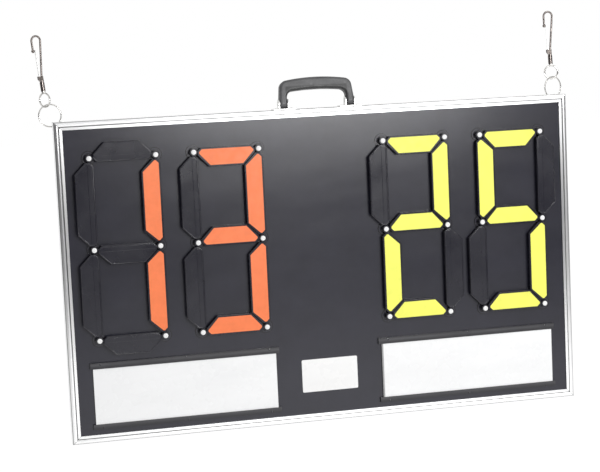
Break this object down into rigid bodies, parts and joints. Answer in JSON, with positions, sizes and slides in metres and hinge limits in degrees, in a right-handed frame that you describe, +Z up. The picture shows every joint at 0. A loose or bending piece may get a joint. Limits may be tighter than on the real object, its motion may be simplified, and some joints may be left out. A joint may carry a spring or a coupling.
{
  "type": "sports scoreboard",
  "caption": "Portable flip-segment scoreboard in a framed black panel, with hinged coloured number flaps, sliding name plates, a folding handle and snap hooks to hang it.",
  "frame": {"origin": "centre of the underside of the bottom rail", "axes": "+X to the viewer's right along the board, +Y away from the viewer through the board, +Z up"},
  "size_m": [0.8319, 0.0558, 0.6127],
  "materials": {
    "frame": "bright anodised extrusion, drawn lengthwise",
    "panel": "black satin sheet with a fine pebble",
    "hubs": "black moulded, fine grain",
    "white_screws": "white caps, glossy",
    "flaps": "black moulded, glossy back; the facings set in front are orange or yellow",
    "name_plates": "white sheet, wipes clean",
    "channels": "black extruded",
    "label": "white, bare",
    "handle": "black moulded, fine grain",
    "castings": "as cast",
    "steel": "zinc plated",
    "chain": "nickel plated, bright"
  },
  "bodies": {
    "board": {"frame_top": "frame", "frame_bottom": "frame", "frame_left": "frame", "frame_right": "frame", "corner_keys": "castings", "corner_screws": "steel", "panel": "panel", "hub_bases": "hubs", "hub_caps": "hubs", "hub_screws": "white_screws", "hub_nuts": "steel", "channel_home_top": "channels", "channel_home_bottom": "channels", "channel_guest_top": "channels", "channel_guest_bottom": "channels", "channel_rivets": "channels", "label_plate": "label", "handle_brackets": "steel", "handle_pins": "steel", "bracket_rivets": "castings", "hanger_eyes": "chain"},
    "flap_home_tens_top": {"flap_home_tens_top": "flaps"},
    "flap_home_tens_top_right": {"flap_home_tens_top_right": "flaps"},
    "flap_home_tens_bottom_right": {"flap_home_tens_bottom_right": "flaps"},
    "flap_home_tens_bottom": {"flap_home_tens_bottom": "flaps"},
    "flap_home_tens_bottom_left": {"flap_home_tens_bottom_left": "flaps"},
    "flap_home_tens_top_left": {"flap_home_tens_top_left": "flaps"},
    "flap_home_tens_middle": {"flap_home_tens_middle": "flaps"},
    "flap_home_units_top": {"flap_home_units_top": "flaps"},
    "flap_home_units_top_right": {"flap_home_units_top_right": "flaps"},
    "flap_home_units_bottom_right": {"flap_home_units_bottom_right": "flaps"},
    "flap_home_units_bottom": {"flap_home_units_bottom": "flaps"},
    "flap_home_units_bottom_left": {"flap_home_units_bottom_left": "flaps"},
    "flap_home_units_top_left": {"flap_home_units_top_left": "flaps"},
    "flap_home_units_middle": {"flap_home_units_middle": "flaps"},
    "flap_guest_tens_top": {"flap_guest_tens_top": "flaps"},
    "flap_guest_tens_top_right": {"flap_guest_tens_top_right": "flaps"},
    "flap_guest_tens_bottom_right": {"flap_guest_tens_bottom_right": "flaps"},
    "flap_guest_tens_bottom": {"flap_guest_tens_bottom": "flaps"},
    "flap_guest_tens_bottom_left": {"flap_guest_tens_bottom_left": "flaps"},
    "flap_guest_tens_top_left": {"flap_guest_tens_top_left": "flaps"},
    "flap_guest_tens_middle": {"flap_guest_tens_middle": "flaps"},
    "flap_guest_units_top": {"flap_guest_units_top": "flaps"},
    "flap_guest_units_top_right": {"flap_guest_units_top_right": "flaps"},
    "flap_guest_units_bottom_right": {"flap_guest_units_bottom_right": "flaps"},
    "flap_guest_units_bottom": {"flap_guest_units_bottom": "flaps"},
    "flap_guest_units_bottom_left": {"flap_guest_units_bottom_left": "flaps"},
    "flap_guest_units_top_left": {"flap_guest_units_top_left": "flaps"},
    "flap_guest_units_middle": {"flap_guest_units_middle": "flaps"},
    "name_plate_home": {"name_plate_home": "name_plates"},
    "name_plate_guest": {"name_plate_guest": "name_plates"},
    "handle": {"handle": "handle"},
    "link_ring_left": {"link_ring_left": "chain"},
    "swivel_eye_left": {"swivel_eye_left": "chain"},
    "hook_left": {"hook_left": "chain"},
    "gate_left": {"gate_left": "chain"},
    "link_ring_right": {"link_ring_right": "chain"},
    "swivel_eye_right": {"swivel_eye_right": "chain"},
    "hook_right": {"hook_right": "chain"},
    "gate_right": {"gate_right": "chain"}
  },
  "joints": [
    {"name": "flap_home_tens_top_hinge", "type": "hinge", "parent": "board", "child": "flap_home_tens_top", "pos_m": [-0.3025, -0.0165, 0.427], "axis": [1, 0, 0], "range_deg": [0, 180]},
    {"name": "flap_home_tens_top_right_hinge", "type": "hinge", "parent": "board", "child": "flap_home_tens_top_right", "pos_m": [-0.253, -0.0165, 0.359], "axis": [0, 0, 1], "range_deg": [0, 180]},
    {"name": "flap_home_tens_bottom_right_hinge", "type": "hinge", "parent": "board", "child": "flap_home_tens_bottom_right", "pos_m": [-0.253, -0.0165, 0.223], "axis": [0, 0, 1], "range_deg": [0, 180]},
    {"name": "flap_home_tens_bottom_hinge", "type": "hinge", "parent": "board", "child": "flap_home_tens_bottom", "pos_m": [-0.3025, -0.0165, 0.155], "axis": [-1, 0, 0], "range_deg": [0, 180]},
    {"name": "flap_home_tens_bottom_left_hinge", "type": "hinge", "parent": "board", "child": "flap_home_tens_bottom_left", "pos_m": [-0.352, -0.0165, 0.223], "axis": [0, 0, 1], "range_deg": [0, 180]},
    {"name": "flap_home_tens_top_left_hinge", "type": "hinge", "parent": "board", "child": "flap_home_tens_top_left", "pos_m": [-0.352, -0.0165, 0.359], "axis": [0, 0, 1], "range_deg": [0, 180]},
    {"name": "flap_home_tens_middle_hinge", "type": "hinge", "parent": "board", "child": "flap_home_tens_middle", "pos_m": [-0.3025, -0.0165, 0.291], "axis": [-1, 0, 0], "range_deg": [0, 180]},
    {"name": "flap_home_units_top_hinge", "type": "hinge", "parent": "board", "child": "flap_home_units_top", "pos_m": [-0.1465, -0.0165, 0.427], "axis": [-1, 0, 0], "range_deg": [0, 180]},
    {"name": "flap_home_units_top_right_hinge", "type": "hinge", "parent": "board", "child": "flap_home_units_top_right", "pos_m": [-0.097, -0.0165, 0.359], "axis": [0, 0, 1], "range_deg": [0, 180]},
    {"name": "flap_home_units_bottom_right_hinge", "type": "hinge", "parent": "board", "child": "flap_home_units_bottom_right", "pos_m": [-0.097, -0.0165, 0.223], "axis": [0, 0, 1], "range_deg": [0, 180]},
    {"name": "flap_home_units_bottom_hinge", "type": "hinge", "parent": "board", "child": "flap_home_units_bottom", "pos_m": [-0.1465, -0.0165, 0.155], "axis": [1, 0, 0], "range_deg": [0, 180]},
    {"name": "flap_home_units_bottom_left_hinge", "type": "hinge", "parent": "board", "child": "flap_home_units_bottom_left", "pos_m": [-0.196, -0.0165, 0.223], "axis": [0, 0, 1], "range_deg": [0, 180]},
    {"name": "flap_home_units_top_left_hinge", "type": "hinge", "parent": "board", "child": "flap_home_units_top_left", "pos_m": [-0.196, -0.0165, 0.359], "axis": [0, 0, 1], "range_deg": [0, 180]},
    {"name": "flap_home_units_middle_hinge", "type": "hinge", "parent": "board", "child": "flap_home_units_middle", "pos_m": [-0.1465, -0.0165, 0.291], "axis": [1, 0, 0], "range_deg": [0, 180]},
    {"name": "flap_guest_tens_top_hinge", "type": "hinge", "parent": "board", "child": "flap_guest_tens_top", "pos_m": [0.1465, -0.0165, 0.427], "axis": [-1, 0, 0], "range_deg": [0, 180]},
    {"name": "flap_guest_tens_top_right_hinge", "type": "hinge", "parent": "board", "child": "flap_guest_tens_top_right", "pos_m": [0.196, -0.0165, 0.359], "axis": [0, 0, 1], "range_deg": [0, 180]},
    {"name": "flap_guest_tens_bottom_right_hinge", "type": "hinge", "parent": "board", "child": "flap_guest_tens_bottom_right", "pos_m": [0.196, -0.0165, 0.223], "axis": [0, 0, -1], "range_deg": [0, 180]},
    {"name": "flap_guest_tens_bottom_hinge", "type": "hinge", "parent": "board", "child": "flap_guest_tens_bottom", "pos_m": [0.1465, -0.0165, 0.155], "axis": [1, 0, 0], "range_deg": [0, 180]},
    {"name": "flap_guest_tens_bottom_left_hinge", "type": "hinge", "parent": "board", "child": "flap_guest_tens_bottom_left", "pos_m": [0.097, -0.0165, 0.223], "axis": [0, 0, -1], "range_deg": [0, 180]},
    {"name": "flap_guest_tens_top_left_hinge", "type": "hinge", "parent": "board", "child": "flap_guest_tens_top_left", "pos_m": [0.097, -0.0165, 0.359], "axis": [0, 0, 1], "range_deg": [0, 180]},
    {"name": "flap_guest_tens_middle_hinge", "type": "hinge", "parent": "board", "child": "flap_guest_tens_middle", "pos_m": [0.1465, -0.0165, 0.291], "axis": [1, 0, 0], "range_deg": [0, 180]},
    {"name": "flap_guest_units_top_hinge", "type": "hinge", "parent": "board", "child": "flap_guest_units_top", "pos_m": [0.3025, -0.0165, 0.427], "axis": [-1, 0, 0], "range_deg": [0, 180]},
    {"name": "flap_guest_units_top_right_hinge", "type": "hinge", "parent": "board", "child": "flap_guest_units_top_right", "pos_m": [0.352, -0.0165, 0.359], "axis": [0, 0, -1], "range_deg": [0, 180]},
    {"name": "flap_guest_units_bottom_right_hinge", "type": "hinge", "parent": "board", "child": "flap_guest_units_bottom_right", "pos_m": [0.352, -0.0165, 0.223], "axis": [0, 0, 1], "range_deg": [0, 180]},
    {"name": "flap_guest_units_bottom_hinge", "type": "hinge", "parent": "board", "child": "flap_guest_units_bottom", "pos_m": [0.3025, -0.0165, 0.155], "axis": [1, 0, 0], "range_deg": [0, 180]},
    {"name": "flap_guest_units_bottom_left_hinge", "type": "hinge", "parent": "board", "child": "flap_guest_units_bottom_left", "pos_m": [0.253, -0.0165, 0.223], "axis": [0, 0, 1], "range_deg": [0, 180]},
    {"name": "flap_guest_units_top_left_hinge", "type": "hinge", "parent": "board", "child": "flap_guest_units_top_left", "pos_m": [0.253, -0.0165, 0.359], "axis": [0, 0, -1], "range_deg": [0, 180]},
    {"name": "flap_guest_units_middle_hinge", "type": "hinge", "parent": "board", "child": "flap_guest_units_middle", "pos_m": [0.3025, -0.0165, 0.291], "axis": [1, 0, 0], "range_deg": [0, 180]},
    {"name": "name_plate_home_slide", "type": "slide", "parent": "board", "child": "name_plate_home", "axis": [-1, 0, 0], "range_m": [-0.039, 0.023]},
    {"name": "name_plate_guest_slide", "type": "slide", "parent": "board", "child": "name_plate_guest", "axis": [1, 0, 0], "range_m": [-0.039, 0.023]},
    {"name": "handle_fold", "type": "hinge", "parent": "board", "child": "handle", "pos_m": [0, 0, 0.491], "axis": [1, 0, 0], "range_deg": [-79, 101]},
    {"name": "link_ring_left_swing", "type": "hinge", "parent": "board", "child": "link_ring_left", "pos_m": [-0.3947, 0.024, 0.469], "axis": [1, 0, 0], "range_deg": [-90, 35]},
    {"name": "swivel_eye_left_swing", "type": "hinge", "parent": "link_ring_left", "child": "swivel_eye_left", "pos_m": [-0.40706, 0.024, 0.50675], "axis": [0.9272, 0, 0.3746], "range_deg": [-70, 60]},
    {"name": "hook_left_swivel", "type": "hinge", "parent": "swivel_eye_left", "child": "hook_left", "pos_m": [-0.40611, 0.024, 0.50438], "axis": [-0.0958, 0, 0.9954], "continuous": true},
    {"name": "gate_left_spring", "type": "hinge", "parent": "hook_left", "child": "gate_left", "pos_m": [-0.41288, 0.02304, 0.54723], "axis": [-0.3404, 0.9397, -0.0328], "range_deg": [0, 7.5], "stiffness_Nm_per_rad": 0.05},
    {"name": "link_ring_right_swing", "type": "hinge", "parent": "board", "child": "link_ring_right", "pos_m": [0.3947, 0.024, 0.469], "axis": [1, 0, 0], "range_deg": [-90, 18]},
    {"name": "swivel_eye_right_swing", "type": "hinge", "parent": "link_ring_right", "child": "swivel_eye_right", "pos_m": [0.39038, 0.02243, 0.50883], "axis": [0.9305, 0.3387, 0.1392], "range_deg": [-70, 60]},
    {"name": "hook_right_swivel", "type": "hinge", "parent": "swivel_eye_right", "child": "hook_right", "pos_m": [0.39072, 0.02255, 0.5063], "axis": [-0.0436, 0, 0.999], "continuous": true},
    {"name": "gate_right_spring", "type": "hinge", "parent": "hook_right", "child": "gate_right", "pos_m": [0.38603, 0.02255, 0.54944], "axis": [0, 1, 0], "range_deg": [0, 7.5], "stiffness_Nm_per_rad": 0.05}
  ]
}
